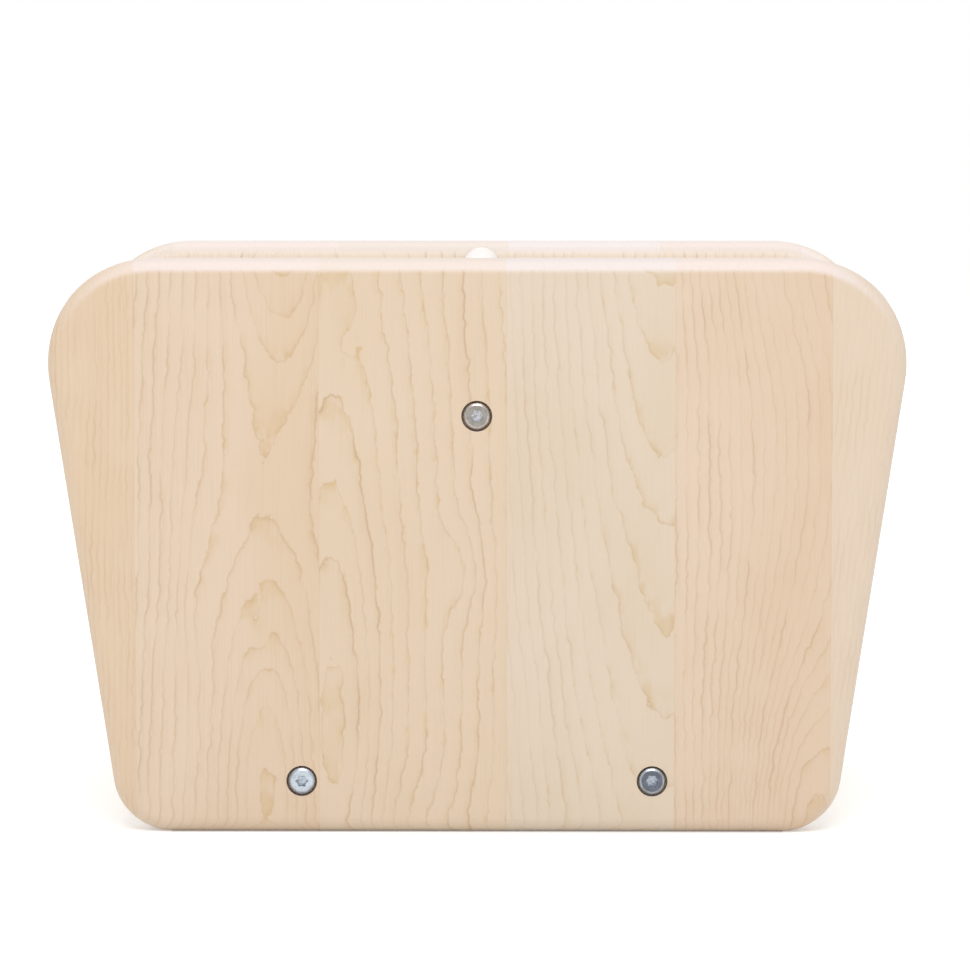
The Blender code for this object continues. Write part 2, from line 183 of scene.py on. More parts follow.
class CajonColours(bpy.types.PropertyGroup):
    """Colours, in linear light, that a user may change."""

    grain: FloatVectorProperty(
        name="Grain lines", description="Colour of the dark late wood in the maple",
        default=linear("#A48663")[:3], size=3, min=0.0, max=1.0, subtype="COLOR")
    dowel: FloatVectorProperty(
        name="Centre bar", description="Colour of the pale birch bar",
        default=linear("#DDD9D5")[:3], size=3, min=0.0, max=1.0, subtype="COLOR")
    birch: FloatVectorProperty(
        name="Birch face", description="Colour of the plywood faces",
        default=linear("#E3D6C1")[:3], size=3, min=0.0, max=1.0, subtype="COLOR")
    zinc: FloatVectorProperty(
        name="Zinc", description="Colour of the zinc plating on bolts and screws",
        default=linear("#CED1D4")[:3], size=3, min=0.0, max=1.0, subtype="COLOR")


# Modelling helpers


def settle(name):
    """Name the new piece and put its place, turn and size into its mesh."""
    piece = bpy.context.object
    piece.name = name
    piece.data.name = name
    bpy.ops.object.transform_apply(location=True, rotation=True, scale=True)
    return piece


def add_block(name, low, high):
    """Add a block between two corners."""
    low, high = Vector(low), Vector(high)
    bpy.ops.object.select_all(action="DESELECT")
    bpy.ops.mesh.primitive_cube_add(size=1.0, location=(low + high) / 2, scale=high - low)
    return settle(name)


def add_rod(name, radius, start, end, vertices):
    """Add a cylinder between two points."""
    start, end = Vector(start), Vector(end)
    run = end - start
    bpy.ops.object.select_all(action="DESELECT")
    bpy.ops.mesh.primitive_cylinder_add(
        vertices=vertices, radius=radius, depth=run.length, location=(start + end) / 2,
        rotation=run.to_track_quat("Z", "Y").to_euler())
    return settle(name)


def pick(piece, kind, test):
    """Select, in edit mode, only the vertices, edges or faces that pass the test."""
    bpy.ops.mesh.select_mode(type=kind)
    bpy.ops.mesh.select_all(action="DESELECT")
    body = bmesh.from_edit_mesh(piece.data)
    elements = {"VERT": body.verts, "EDGE": body.edges, "FACE": body.faces}[kind]
    for element in elements:
        if test(element):
            element.select_set(True)
    bmesh.update_edit_mesh(piece.data)


def activate(piece):
    """Make one piece the active and only selected object."""
    bpy.ops.object.select_all(action="DESELECT")
    piece.select_set(True)
    bpy.context.view_layer.objects.active = piece


def modify(piece, kind, **settings):
    """Add a modifier with its settings and apply it."""
    activate(piece)
    modifier = piece.modifiers.new(kind.lower(), kind)
    for key, value in settings.items():
        setattr(modifier, key, value)
    bpy.ops.object.modifier_apply(modifier=modifier.name)


def cut(piece, cutters):
    """Join the cutters, take them out of the piece and remove them."""
    bpy.ops.object.select_all(action="DESELECT")
    for cutter in cutters:
        cutter.select_set(True)
    bpy.context.view_layer.objects.active = cutters[0]
    if len(cutters) > 1:
        bpy.ops.object.join()
    cutter = bpy.context.object
    modify(piece, "BOOLEAN", operation="DIFFERENCE", solver="EXACT", object=cutter)
    bpy.data.objects.remove(cutter)


def copy_piece(piece, name, shift):
    """Copy a piece with a mesh of its own, moved along."""
    activate(piece)
    bpy.ops.object.duplicate(linked=False)
    bpy.ops.transform.translate(value=shift)
    return settle(name)


def hand_over(piece, node, angle=35.0):
    """Shade the piece, put it in the CAD node's place and let it ride on the body."""
    activate(piece)
    bpy.ops.object.shade_smooth_by_angle(angle=math.radians(angle))
    modify(piece, "WEIGHTED_NORMAL", mode="FACE_AREA", weight=50, keep_sharp=True)
    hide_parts(node)
    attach(piece, "root")


def dress(piece, *materials):
    """Give a piece these materials and no others, keeping which face has which."""
    slots = [polygon.material_index for polygon in piece.data.polygons]
    piece.data.materials.clear()
    for material in materials:
        piece.data.materials.append(material)
    piece.data.polygons.foreach_set("material_index", [min(s, len(materials) - 1) for s in slots])


# Material helpers

MATH = "ShaderNodeMath"
VECTOR = "ShaderNodeVectorMath"
RANGE = "ShaderNodeMapRange"
MIX = "ShaderNodeMix"
SPLIT = "ShaderNodeSeparateXYZ"
JOIN = "ShaderNodeCombineXYZ"
SMOOTH = {"interpolation_type": "SMOOTHSTEP"}


def add_node(tree, kind, inputs=(), out=0, **settings):
    """Add a node, set its properties, fill its inputs with values or links and return one output."""
    node = tree.nodes.new(kind)
    for key, value in settings.items():
        setattr(node, key, value)
    for key, value in inputs.items() if isinstance(inputs, dict) else enumerate(inputs):
        if isinstance(value, bpy.types.NodeSocket):
            tree.links.new(value, node.inputs[key])
        else:
            node.inputs[key].default_value = value
    return node.outputs[out]


def new_material(name):
    """Start a material and return it with its tree and its surface shader."""
    material = bpy.data.materials.new(name)
    material.use_nodes = True
    tree = material.node_tree
    shader = next(n for n in tree.nodes if n.type == "BSDF_PRINCIPLED")
    return material, tree, shader


def millimetres(tree):
    """Object coordinates in millimetres."""
    place = add_node(tree, "ShaderNodeTexCoord", out="Object")
    return add_node(tree, VECTOR, {0: place, "Scale": MM}, operation="SCALE")


def grain_noise(tree, spot, sizes, seed, detail=2.0, out=0):
    """Noise with its own size in millimetres along each axis."""
    scale = [1.0 / s for s in sizes]
    shift = (seed, seed * 1.7, seed * 0.6)
    stretched = add_node(tree, VECTOR, (spot, scale, shift), operation="MULTIPLY_ADD")
    return add_node(tree, "ShaderNodeTexNoise", {"Vector": stretched, "Scale": 1.0, "Detail": detail}, out)


def ring_field(name, board, face_y, outward, seed):
    """Node group that counts the tree's rings at a place in millimetres, outward from its heart."""
    tree = bpy.data.node_groups.new(name, "ShaderNodeTree")
    tree.interface.new_socket("Place", in_out="INPUT", socket_type="NodeSocketVector")
    tree.interface.new_socket("Rings", in_out="OUTPUT", socket_type="NodeSocketFloat")
    spot = add_node(tree, "NodeGroupInput")
    # Rings are never quite smooth: the place is nudged about a millimetre to and fro.
    nudge = grain_noise(tree, spot, (5.0, 5.0, 9.0), seed + 3.0, out="Color")
    nudge = add_node(tree, VECTOR, (nudge, (3.6, 0.0, 3.6), (-1.8, 0.0, -1.8)), operation="MULTIPLY_ADD")
    spot = add_node(tree, VECTOR, (spot, nudge))
    height = add_node(tree, SPLIT, (spot,), 2)
    run = add_node(tree, JOIN, (height, height))
    slant = (board.lean, -outward * board.climb, 0.0)
    foot = (board.heart, face_y - outward * board.depth, 0.0)
    heart = add_node(tree, VECTOR, (run, slant, foot), operation="MULTIPLY_ADD")
    across = add_node(tree, VECTOR, (spot, heart), operation="SUBTRACT")
    roam = board.wander
    wander = grain_noise(tree, spot, (60.0, 60.0, 100.0), seed, out="Color")
    wander = add_node(
        tree, VECTOR, (wander, (2 * roam, 2 * roam, 0.0), (-roam, -roam, 0.0)), operation="MULTIPLY_ADD")
    across = add_node(tree, VECTOR, (across, (1.0, 1.0, 0.0), wander), operation="MULTIPLY_ADD")
    reach = add_node(tree, VECTOR, (across,), "Value", operation="LENGTH")
    rings = add_node(tree, MATH, (reach, 1.0 / board.ring, board.first), operation="MULTIPLY_ADD")
    for x, z, wide, tall, size in board.swells:
        squeeze = (1.0 / wide, 0.0, 1.0 / tall)
        near = add_node(
            tree, VECTOR, (spot, squeeze, (-x / wide, 0.0, -z / tall)), operation="MULTIPLY_ADD")
        near = add_node(tree, VECTOR, (near, near), "Value", operation="DOT_PRODUCT")
        near = add_node(tree, MATH, (math.exp(-1.0), near), operation="POWER")
        rings = add_node(tree, MATH, (near, size, rings), operation="MULTIPLY_ADD")
    # Growth is uneven too, which shows most at the tips of arches, where a ring lies nearly in the face.
    uneven = grain_noise(tree, spot, (6.0, 6.0, 9.0), seed + 15.0)
    rings = add_node(tree, MATH, (uneven, 0.35, rings), operation="MULTIPLY_ADD")
    tree.links.new(rings, tree.nodes.new("NodeGroupOutput").inputs[0])
    return tree


def maple(name, board, face_y, outward, seed, left, grain, along_y=False):
    """Hard maple, planed, sanded and oiled: cream with thin brown late-wood lines that arch where the
    board is cut along the rings, silky fibre streaks, fine brown flecks and a satin surface. On the end
    panels, painted light makes the long edges and the inner faces paler, and the up-facing upper edge
    paler still, partly for its end grain and partly as painted light from above."""
    material, tree, shader = new_material(name)
    spot = millimetres(tree)
    side = add_node(tree, SPLIT, (spot,))
    if along_y:
        front = add_node(tree, SPLIT, (spot,), 1)
        height = add_node(tree, SPLIT, (spot,), 2)
        spot = add_node(tree, JOIN, (side, height, front))
    field = ring_field(name + " rings", board, face_y, outward, seed)
    counts = []
    for step in ((0.0, 0.0, 0.0), (0.4, 0.0, 0.0), (0.0, 0.0, 0.4)):
        there = add_node(tree, VECTOR, (spot, step))
        counts.append(add_node(tree, "ShaderNodeGroup", {0: there}, node_tree=field))
    rings = counts[0]
    # Rings crossed in a millimetre, which keeps every line equally wide on the wood.
    slopes = []
    for count in counts[1:]:
        rise = add_node(tree, MATH, (count, rings), operation="SUBTRACT")
        slopes.append(add_node(tree, MATH, (rise, 0.4), operation="DIVIDE"))
    slope = add_node(tree, JOIN, (slopes[0], slopes[1], 0.012))
    slope = add_node(tree, VECTOR, (slope,), "Value", operation="LENGTH")
    # Late wood is a thin line at each full ring, with a softer shade on the side of the same year.
    away = add_node(tree, MATH, (rings, 0.5), operation="PINGPONG")
    away = add_node(tree, MATH, (away, slope), operation="DIVIDE")
    away = add_node(tree, MATH, (away, 0.55), operation="DIVIDE")
    away = add_node(tree, MATH, (away, away), operation="MULTIPLY")
    late = add_node(tree, MATH, (math.exp(-1.0), away), operation="POWER")
    before = add_node(tree, MATH, (rings,), operation="FRACT")
    before = add_node(tree, MATH, (1.0, before), operation="SUBTRACT")
    shade = add_node(tree, MATH, (slope, 2.2), operation="MULTIPLY")
    shade = add_node(tree, MATH, (before, shade), operation="DIVIDE")
    shade = add_node(tree, MATH, (math.exp(-1.0), shade), operation="POWER")
    late = add_node(tree, MATH, (late, 0.7), operation="MULTIPLY")
    late = add_node(tree, MATH, (shade, 0.3, late), operation="MULTIPLY_ADD")
    # Some years are darker than others, and each line fades and returns along its length.
    year = add_node(tree, MATH, (rings,), operation="ROUND")
    year = add_node(tree, MATH, (year, seed), operation="ADD")
    year = add_node(tree, "ShaderNodeTexWhiteNoise", {"W": year}, noise_dimensions="1D")
    strong = add_node(tree, RANGE, (year, 0.0, 1.0, 0.4, 1.0))
    fade = grain_noise(tree, spot, (18.0, 18.0, 30.0), seed + 5.0)
    fade = add_node(tree, RANGE, (fade, 0.34, 0.64, 0.25, 1.0), **SMOOTH)
    line = add_node(tree, MATH, (late, strong), operation="MULTIPLY")
    line = add_node(tree, MATH, (line, fade), operation="MULTIPLY")
    # Where the face runs nearly along the rings, the late wood spreads into ochre patches.
    spread = add_node(tree, MATH, (before, 0.14), operation="DIVIDE")
    spread = add_node(tree, MATH, (math.exp(-1.0), spread), operation="POWER")
    flat = add_node(tree, RANGE, (slope, 0.03, 0.15, 0.9, 0.0), **SMOOTH)
    patch = grain_noise(tree, spot, (9.0, 9.0, 16.0), seed + 13.0)
    patch = add_node(tree, RANGE, (patch, 0.38, 0.56, 0.0, 1.0), **SMOOTH)
    flat = add_node(tree, MATH, (flat, patch), operation="MULTIPLY")
    spread = add_node(tree, MATH, (spread, flat), operation="MULTIPLY")
    # Real fibres and flecks are a tenth of a millimetre wide or less. They are drawn coarser, to show.
    fibre = grain_noise(tree, spot, (0.8, 0.8, 40.0), seed + 7.0, 3.0)
    streak = add_node(tree, RANGE, (fibre, 0.45, 0.75, 0.0, 0.04 + 0.10 * board.fine), **SMOOTH)
    fleck = grain_noise(tree, spot, (0.6, 0.6, 6.0), seed + 9.0)
    fleck = add_node(tree, RANGE, (fleck, 0.62, 0.76, 0.0, 0.06), **SMOOTH)
    cloud = grain_noise(tree, spot, (40.0, 40.0, 90.0), seed + 11.0)
    cloud = add_node(tree, RANGE, (cloud, 0.35, 0.7, 0.0, 0.45), **SMOOTH)
    across = add_node(tree, RANGE, (side, left, board.right, 0.0, board.warmer))
    cloud = add_node(tree, MATH, (cloud, across), operation="ADD")
    seams = [add_node(tree, MATH, (side, edge, 0.3), operation="COMPARE") for edge in (left, board.right)]
    seam = add_node(tree, MATH, seams, operation="ADD")
    seam = add_node(tree, MATH, (seam, 0.08), operation="MULTIPLY")
    bold = add_node(tree, MATH, (line, board.bold), operation="MULTIPLY")
    tone = linear(board.tone)
    warm = [tone[0] * 0.965, tone[1] * 0.92, tone[2] * 0.86, 1.0]
    ochre = [tone[0] * 0.88, tone[1] * 0.78, tone[2] * 0.56, 1.0]
    colour = add_node(tree, MIX, {0: cloud, 6: tone, 7: warm}, 2, data_type="RGBA")
    colour = add_node(tree, MIX, {0: spread, 6: colour, 7: ochre}, 2, data_type="RGBA")
    paler = ()
    if not along_y:
        # The long edges are a little lighter than the face, as painted light, and the up-facing upper edge
        # is paler still, partly for its end grain and partly as painted light from above.
        facing = add_node(tree, "ShaderNodeTexCoord", out="Normal")
        aside = add_node(tree, SPLIT, (facing,))
        aside = add_node(tree, MATH, (aside,), operation="ABSOLUTE")
        top = add_node(tree, SPLIT, (facing,), 2)
        top = add_node(tree, RANGE, (top, 0.05, 0.45, 0.0, 1.0), **SMOOTH)
        level = add_node(tree, RANGE, (aside, 0.1, 0.6, 1.0, 0.2), **SMOOTH)
        top = add_node(tree, MATH, (top, level), operation="MULTIPLY")
        aside = add_node(tree, RANGE, (aside, 0.1, 0.8, 0.0, 0.7), **SMOOTH)
        edge = [t * g for t, g in zip(tone, LONG_EDGE_PAINTED_LIGHT)] + [1.0]
        colour = add_node(tree, MIX, {0: aside, 6: colour, 7: edge}, 2, data_type="RGBA")
        # Faces turned inwards take a pale tone: painted light, standing in for light between the panels.
        inner = add_node(tree, VECTOR, (facing, (0.0, -outward, 0.0)), "Value", operation="DOT_PRODUCT")
        inner = add_node(tree, RANGE, (inner, 0.3, 0.9, 0.0, 0.9), **SMOOTH)
        colour = add_node(tree, MIX, {0: inner, 6: colour, 7: linear(INNER_FACE_PAINTED_LIGHT)}, 2, data_type="RGBA")
        paler = ((top, [t * g for t, g in zip(tone, UPPER_EDGE_GRAIN_AND_LIGHT)] + [1.0]),)
    for amount, tint in ((bold, grain), (seam, grain), *paler, (streak, grain), (fleck, grain)):
        colour = add_node(tree, MIX, {0: amount, 6: colour, 7: tint}, 2, data_type="RGBA")
    tree.links.new(colour, shader.inputs["Base Color"])
    tree.links.new(add_node(tree, RANGE, (fibre, 0.3, 0.7, 0.42, 0.52)), shader.inputs["Roughness"])
    shader.inputs["IOR"].default_value = 1.48
    relief = add_node(tree, MATH, (fibre, 0.5), operation="MULTIPLY")
    relief = add_node(tree, MATH, (relief, line), operation="SUBTRACT")
    bump = add_node(tree, "ShaderNodeBump", {"Height": relief, "Strength": 0.15, "Distance": 0.0001})
    tree.links.new(bump, shader.inputs["Normal"])
    return material


def plywood(name, normal, anchor, thickness, plies, seed, birch):
    """Birch plywood, sanded and oiled: pale faces with faint flame and short pores, and on the edges
    plies that run pale and dark in turn with thin dark glue between them."""
    material, tree, shader = new_material(name)
    spot = millimetres(tree)
    depth = add_node(tree, VECTOR, (spot, normal), "Value", operation="DOT_PRODUCT")
    start = Vector(anchor).dot(Vector(normal)) * MM
    depth = add_node(tree, MATH, (depth, start), operation="SUBTRACT")
    depth = add_node(tree, "ShaderNodeClamp", (depth, 0.05, thickness - 0.05))
    layer = add_node(tree, MATH, (depth, thickness / plies), operation="DIVIDE")
    turned = add_node(tree, MATH, (layer,), operation="FLOOR")
    turned = add_node(tree, MATH, (turned, 1.0), operation="PINGPONG")
    turned = add_node(tree, MATH, (turned, 0.45), operation="MULTIPLY")
    glue = add_node(tree, MATH, (layer, 0.5), operation="PINGPONG")
    glue = add_node(tree, RANGE, (glue, 0.03, 0.10, 0.6, 0.0), **SMOOTH)
    flame = grain_noise(tree, spot, (12.0, 140.0, 12.0), seed)
    flame = add_node(tree, RANGE, (flame, 0.35, 0.65, 0.0, 0.6), **SMOOTH)
    # Real pores are about a tenth of a millimetre wide. They are drawn coarser, to show.
    pores = grain_noise(tree, spot, (0.7, 6.0, 0.7), seed + 2.0)
    pores = add_node(tree, RANGE, (pores, 0.60, 0.74, 0.0, 0.22), **SMOOTH)
    fibre = grain_noise(tree, spot, (3.0, 45.0, 3.0), seed + 4.0, 4.0)
    streak = add_node(tree, RANGE, (fibre, 0.45, 0.75, 0.0, 0.5), **SMOOTH)
    colour = list(birch) + [1.0]
    dark = [birch[0] * 0.62, birch[1] * 0.50, birch[2] * 0.40, 1.0]
    warm = [birch[0] * 0.93, birch[1] * 0.86, birch[2] * 0.78, 1.0]
    for amount, stain in ((flame, warm), (streak, warm), (turned, dark), (pores, dark), (glue, dark)):
        colour = add_node(tree, MIX, {0: amount, 6: colour, 7: stain}, 2, data_type="RGBA")
    tree.links.new(colour, shader.inputs["Base Color"])
    tree.links.new(add_node(tree, RANGE, (fibre, 0.3, 0.7, 0.42, 0.55)), shader.inputs["Roughness"])
    shader.inputs["IOR"].default_value = 1.48
    bump = add_node(tree, "ShaderNodeBump", {"Height": pores, "Strength": 0.6, "Distance": -0.0001})
    tree.links.new(bump, shader.inputs["Normal"])
    return material


def turned_birch(name, dowel):
    """Birch turned on a lathe and sanded: near-white, with faint long streaks and a soft satin surface."""
    material, tree, shader = new_material(name)
    fibre = grain_noise(tree, millimetres(tree), (1.2, 60.0, 1.2), 2.0, 3.0)
    streak = add_node(tree, RANGE, (fibre, 0.35, 0.7, 0.0, 1.0), **SMOOTH)
    pale = list(dowel) + [1.0]
    warm = [dowel[0] * 0.98, dowel[1] * 0.965, dowel[2] * 0.95, 1.0]
    colour = add_node(tree, MIX, {0: streak, 6: pale, 7: warm}, 2, data_type="RGBA")
    tree.links.new(colour, shader.inputs["Base Color"])
    tree.links.new(add_node(tree, RANGE, (fibre, 0.3, 0.7, 0.4, 0.5)), shader.inputs["Roughness"])
    shader.inputs["IOR"].default_value = 1.48
    return material


def plated(name, colour, roughness, seed, patch=3.0, dim=0.72):
    """Steel, cold headed and zinc plated: a bright bluish metal, cloudy in patches where the plating is
    uneven, with fine handling marks. In the bolt sockets the small, deep patches are painted reflection."""
    material, tree, shader = new_material(name)
    spot = millimetres(tree)
    cloud = grain_noise(tree, spot, (patch, patch, patch), seed, 3.0)
    cloud = add_node(tree, RANGE, (cloud, 0.35, 0.7, 0.0, 1.0), **SMOOTH)
    # Real handling marks are hair-thin. They are drawn coarser, to show.
    mark = grain_noise(tree, spot, (0.6, 0.6, 4.0), seed + 2.0)
    bright = list(colour) + [1.0]
    dull = [c * dim for c in colour] + [1.0]
    colour = add_node(tree, MIX, {0: cloud, 6: bright, 7: dull}, 2, data_type="RGBA")
    tree.links.new(colour, shader.inputs["Base Color"])
    mark = add_node(tree, RANGE, (mark, 0.3, 0.7, roughness, roughness + 0.12))
    tree.links.new(mark, shader.inputs["Roughness"])
    shader.inputs["Metallic"].default_value = 1.0
    return material


# Shapes that several operators need


def bolt_centres(end):
    """Middle of each bolt head's face on one panel, from the CAD boxes."""
    centres = {}
    for place in BOLT_PLACES:
        low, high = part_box(f"{end}_{place}_bolt")
        y = low.y if ENDS[end] < 0.0 else high.y
        centres[place] = Vector(((low.x + high.x) / 2, y, (low.z + high.z) / 2))
    return centres


def model_panel(end, sizes):
    """A rounded trapezoid with rounded edges, counterbored for three bolts."""
    low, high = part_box(f"{end}_panel")
    tall = high.z
    lean = sizes.side_lean
    reach = (high.x - sizes.top_corner) * math.cos(lean) - (tall - sizes.top_corner) * math.sin(lean)
    foot = (reach + sizes.top_corner) / math.cos(lean)
    head = foot + tall * math.tan(lean)
    piece = add_block(f"{end}_panel_wood", (-head, low.y, 0.0), (head, high.y, tall))
    bpy.ops.object.mode_set(mode="EDIT")
    pick(piece, "VERT", lambda v: v.co.z < 1e-4)
    bpy.ops.transform.resize(value=(foot / head, 1.0, 1.0), center_override=(0.0, 0.0, 0.0))
    corners = (
        (sizes.top_corner, math.pi / 2 - lean, True),
        (sizes.bottom_corner, math.pi / 2 + lean, False),
    )
    for radius, turn, top in corners:
        def corner(e, top=top):
            upright = abs(e.verts[0].co.y - e.verts[1].co.y) > 0.01
            return upright and (e.verts[0].co.z > tall / 2) == top
        pick(piece, "EDGE", corner)
        bpy.ops.mesh.bevel(offset=radius / math.tan(turn / 2), segments=24, affect="EDGES")

    def rim(e):
        a, b = (v.co.y for v in e.verts)
        return abs(a - b) < 1e-6
    pick(piece, "EDGE", rim)
    bpy.ops.mesh.bevel(offset=sizes.edge_round, segments=8, affect="EDGES")
    for board in BOARDS[:-1]:
        bpy.ops.mesh.select_all(action="SELECT")
        bpy.ops.mesh.bisect(plane_co=(board.right / MM, 0.0, 0.0), plane_no=(1.0, 0.0, 0.0))
    bpy.ops.object.mode_set(mode="OBJECT")
    out = Vector((0.0, ENDS[end], 0.0))
    face = low.y if ENDS[end] < 0.0 else high.y
    bores, holes = [], []
    for centre in bolt_centres(end).values():
        top = Vector((centre.x, face, centre.z))
        bores.append(add_rod("bore", BORE_RADIUS, top - out * BORE_DEPTH, top + out * PAST, 64))
        holes.append(add_rod("hole", HOLE_RADIUS, top - out * HOLE_DEPTH, top, 32))
    for cutters in (bores, holes):
        cut(piece, cutters)
    return piece


def star_socket(centre, out, radius, depth):
    """Cutter for a six-lobed driver socket."""
    cutter = add_rod("socket", radius, centre - out * depth, centre + out * PAST, 12)
    bpy.ops.object.mode_set(mode="EDIT")

    def valley(v):
        turn = math.degrees(math.atan2(v.co.z - centre.z, v.co.x - centre.x))
        return round(turn / 30.0) % 2 == 1
    pick(cutter, "VERT", valley)
    bpy.ops.transform.resize(value=(0.72, 1.0, 0.72), center_override=centre)
    pick(cutter, "EDGE", lambda e: abs(e.verts[0].co.y - e.verts[1].co.y) > 1e-3)
    bpy.ops.mesh.bevel(offset=0.0005, segments=4, affect="EDGES")
    bpy.ops.object.mode_set(mode="OBJECT")
    return cutter


def model_bolt(end):
    """A low-headed socket bolt: head with a wide chamfer, plain shank and a six-lobed socket."""
    centre = bolt_centres(end)["upper"]
    low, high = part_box(f"{end}_upper_bolt")
    radius = (high.x - low.x) / 2
    out = Vector((0.0, ENDS[end], 0.0))
    piece = add_rod("bolt", radius, centre - out * HEAD_HEIGHT, centre - out * HEAD_CROWN, 64)
    bpy.ops.object.mode_set(mode="EDIT")
    for rise, scale in ((0.0002, 0.975), (0.0008, 0.80)):
        pick(piece, "FACE", lambda f: f.normal.dot(out) > 0.9)
        bpy.ops.mesh.extrude_region_move(TRANSFORM_OT_translate={"value": out * rise})
        bpy.ops.transform.resize(value=(scale, 1.0, scale), center_override=centre)

    def crown_ring(e):
        a, b = (v.co.y for v in e.verts)
        return abs(a - b) < 1e-5 and abs(a - centre.y) < 0.0009 and abs(b - centre.y) < 0.0009
    pick(piece, "EDGE", crown_ring)
    bpy.ops.mesh.bevel(offset=0.00015, segments=3, affect="EDGES")
    pick(piece, "FACE", lambda f: f.normal.dot(out) < -0.9)
    bpy.ops.mesh.inset(thickness=radius - SHANK_RADIUS)
    bpy.ops.mesh.extrude_region_move(TRANSFORM_OT_translate={"value": out * -SHANK_LENGTH})
    bpy.ops.object.mode_set(mode="OBJECT")
    cut(piece, [star_socket(centre, out, SOCKET_RADIUS, SOCKET_DEPTH)])
    for polygon in piece.data.polygons:
        middle = polygon.center - centre
        middle.y = 0.0
        if middle.length < SOCKET_RADIUS + 0.0002 and polygon.center.dot(out) < centre.dot(out) - 1e-5:
            polygon.material_index = 2
        elif polygon.normal.dot(out) > 0.9:
            polygon.material_index = 1
        else:
            polygon.material_index = 0
    return piece


class CAJON_OT_panels(bpy.types.Operator):
    """Model the two edge-glued maple end panels"""

    bl_idname = "cajon.panels"
    bl_label = "End panels"

    def execute(self, context):
        grain = list(context.scene.cajon_colours.grain) + [1.0]
        for end, outward in ENDS.items():
            piece = model_panel(end, context.scene.cajon_sizes)
            low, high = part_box(f"{end}_panel")
            face_y = (low.y if outward < 0.0 else high.y) * MM
            piece.data.materials.clear()
            left = FAR_LEFT
            for number, board in enumerate(BOARDS):
                seed = 7.0 * number + (0.0 if outward < 0.0 else 53.0)
                if outward > 0.0:
                    board = board._replace(
                        tone=REAR_TONES[number], swells=(), wander=8.0, bold=board.bold * 0.7)
                name = f"maple board {number + 1} {end}"
                material = maple(name, board, face_y, outward, seed, left, grain)
                piece.data.materials.append(material)
                left = board.right
            for polygon in piece.data.polygons:
                across = polygon.center.x * MM
                polygon.material_index = sum(across > b.right for b in BOARDS[:-1])
            hand_over(piece, f"{end}_panel", 40.0)
        return {"FINISHED"}


class CAJON_OT_bolts(bpy.types.Operator):
    """Model the six socket bolts that hold the panels"""

    bl_idname = "cajon.bolts"
    bl_label = "Bolts"

    def execute(self, context):
        painted_reflections = {}
        for place, tones in BOLT_REFLECTION_TONES.items():
            painted_reflections[place] = []
            for zone, tone in zip(("rim", "face", "socket"), tones):
                # The socket's small, deep mottle is painted reflection, as are the tones of each zone.
                patch, dim = (0.9, 0.5) if zone == "socket" else (3.0, 0.78)
                name = f"zinc plated steel, {place} {zone}"
                painted_reflections[place].append(plated(name, linear(tone)[:3], 0.24, 3.0, patch, dim))
        for end in ENDS:
            model = model_bolt(end)
            centres = bolt_centres(end)
            for place in BOLT_PLACES:
                piece = copy_piece(model, f"{end}_{place}_bolt_head", centres[place] - centres["upper"])
                dress(piece, *painted_reflections[place])
                hand_over(piece, f"{end}_{place}_bolt", 30.0)
            bpy.data.objects.remove(model)
        return {"FINISHED"}


class CAJON_OT_bar(bpy.types.Operator):
    """Model the round centre bar between the striking boards"""

    bl_idname = "cajon.bar"
    bl_label = "Centre bar"

    def execute(self, context):
        low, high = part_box("centre_bar")
        radius = (high.x - low.x) / 2
        middle = (low + high) / 2
        start = (middle.x, low.y, middle.z)
        stop = (middle.x, high.y, middle.z)
        piece = add_rod("centre_bar_turned", radius, start, stop, 96)
        bpy.ops.object.mode_set(mode="EDIT")
        pick(piece, "EDGE", lambda e: abs(e.verts[0].co.y - e.verts[1].co.y) < 1e-6)
        bpy.ops.mesh.bevel(offset=0.0008, segments=3, affect="EDGES")
        bpy.ops.object.mode_set(mode="OBJECT")
        dress(piece, turned_birch("turned birch", context.scene.cajon_colours.dowel))
        hand_over(piece, "centre_bar")
        return {"FINISHED"}


class CAJON_OT_walls(bpy.types.Operator):
    """Model the leaning plywood walls with their sound ports"""

    bl_idname = "cajon.walls"
    bl_label = "Side walls"

    def execute(self, context):
        sizes = context.scene.cajon_sizes
        birch = list(context.scene.cajon_colours.birch)
        lean = sizes.side_lean
        for side, sign in (("left", -1.0), ("right", 1.0)):
            low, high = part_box(f"{side}_wall")
            wide = sizes.wall_thickness / math.cos(lean)
            inner = min(abs(low.x), abs(high.x))
            outer = max(abs(low.x), abs(high.x))
            ends = sorted((sign * inner, sign * (inner + wide)))
            piece = add_block(f"{side}_wall_ply", (ends[0], low.y, low.z), (ends[1], high.y, high.z))
            bpy.ops.object.mode_set(mode="EDIT")
            pick(piece, "VERT", lambda v: v.co.z > (low.z + high.z) / 2)
            bpy.ops.transform.translate(value=(sign * (outer - inner - wide), 0.0, 0.0))
            bpy.ops.object.mode_set(mode="OBJECT")
            out = Vector((sign * math.cos(lean), 0.0, -math.sin(lean)))
            rise = (sizes.port_height - low.z) * math.tan(lean)
            middle = Vector((sign * (inner + wide / 2 + rise), 0.0, sizes.port_height))
            cut(piece, [add_rod("port", sizes.port_radius, middle - out * 0.05, middle + out * 0.05, 96)])
            modify(piece, "BEVEL", width=sizes.ease, segments=3, limit_method="ANGLE",
                   angle_limit=math.radians(50.0))
            anchor = (sign * inner, 0.0, low.z)
            name = f"birch plywood {side} wall"
            dress(piece, plywood(name, out, anchor, sizes.wall_thickness * MM, 9, sign + 4.0, birch))
            hand_over(piece, f"{side}_wall")
        return {"FINISHED"}


